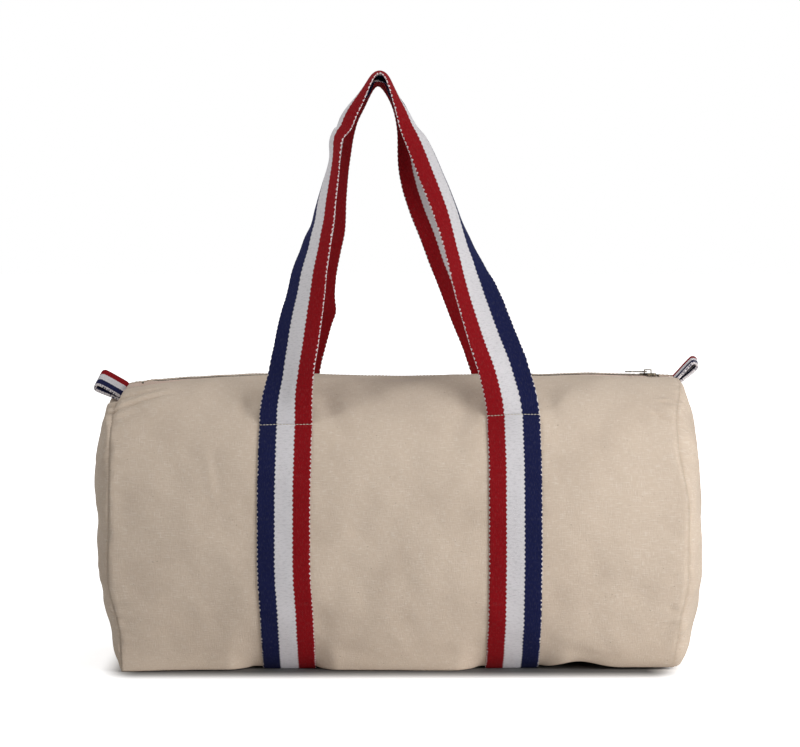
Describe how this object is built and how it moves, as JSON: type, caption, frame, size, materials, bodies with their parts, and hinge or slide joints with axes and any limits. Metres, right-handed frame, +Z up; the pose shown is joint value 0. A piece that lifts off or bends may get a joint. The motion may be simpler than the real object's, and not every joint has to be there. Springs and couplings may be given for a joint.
{
  "type": "travel bag",
  "caption": "Barrel-shaped canvas travel bag with a zip along the top, two tricolour webbing handles and tape loops at the zip's ends.",
  "frame": {"origin": "on the ground under the middle of the bag", "axes": "+X along the bag to the right end, where the closed zip's slider lies; the front at -Y; +Z up"},
  "size_m": [0.5606, 0.2742, 0.5496],
  "materials": {
    "canvas": "natural unbleached cotton canvas",
    "webbing": "woven cotton webbing in red, white and blue stripes",
    "zip_tape": "woven beige tape",
    "nickel": "polished nickel plate"
  },
  "bodies": {
    "bag": {"body_panel": "canvas", "end_panel_left": "canvas", "end_panel_right": "canvas", "seam_binding_left": "zip_tape", "seam_binding_right": "zip_tape", "strap_left": "webbing", "strap_right": "webbing", "tab_loop_left": "webbing", "tab_loop_right": "webbing", "zip_tape_front_left": "zip_tape", "zip_tape_front_right": "zip_tape", "zip_tape_back_left": "zip_tape", "zip_tape_back_right": "zip_tape", "zip_teeth_front_left": "nickel", "zip_teeth_front_right": "nickel", "zip_teeth_back_left": "nickel", "zip_teeth_back_right": "nickel", "zip_top_stop_front": "nickel", "zip_top_stop_back": "nickel", "zip_bottom_stop": "nickel"},
    "slider": {"zip_slider": "nickel"},
    "puller": {"zip_puller": "nickel"},
    "lip_front": {"mouth_lip_front": "canvas", "zip_tape_front_middle": "zip_tape", "zip_teeth_front_middle": "nickel"},
    "handle_front": {"handle_front": "webbing"},
    "lip_back": {"mouth_lip_back": "canvas", "zip_tape_back_middle": "zip_tape", "zip_teeth_back_middle": "nickel"},
    "handle_back": {"handle_back": "webbing"}
  },
  "joints": [
    {"name": "zip_slide", "type": "slide", "parent": "bag", "child": "slider", "axis": [-1, 0, 0], "range_m": [0, 0.455], "deforming": ["zip_teeth_front_left", "zip_teeth_front_middle", "zip_teeth_front_right", "zip_teeth_back_left", "zip_teeth_back_middle", "zip_teeth_back_right"]},
    {"name": "puller_flip", "type": "hinge", "parent": "slider", "child": "puller", "pos_m": [0.2317, 0, 0.2667], "axis": [0, 1, 0], "range_deg": [0, 110]},
    {"name": "handle_front_swing", "type": "hinge", "parent": "bag", "child": "handle_front", "pos_m": [0, -0.1082, 0.22608], "axis": [1, 0, 0], "range_deg": [0, 140]},
    {"name": "lip_front_fold", "type": "hinge", "parent": "bag", "child": "lip_front", "pos_m": [0, -0.0817, 0.24615], "axis": [1, 0, 0], "range_deg": [0, 55]},
    {"name": "handle_back_swing", "type": "hinge", "parent": "bag", "child": "handle_back", "pos_m": [0, 0.1082, 0.22608], "axis": [-1, 0, 0], "range_deg": [0, 140]},
    {"name": "lip_back_fold", "type": "hinge", "parent": "bag", "child": "lip_back", "pos_m": [0, 0.0817, 0.24615], "axis": [-1, 0, 0], "range_deg": [0, 55]}
  ]
}
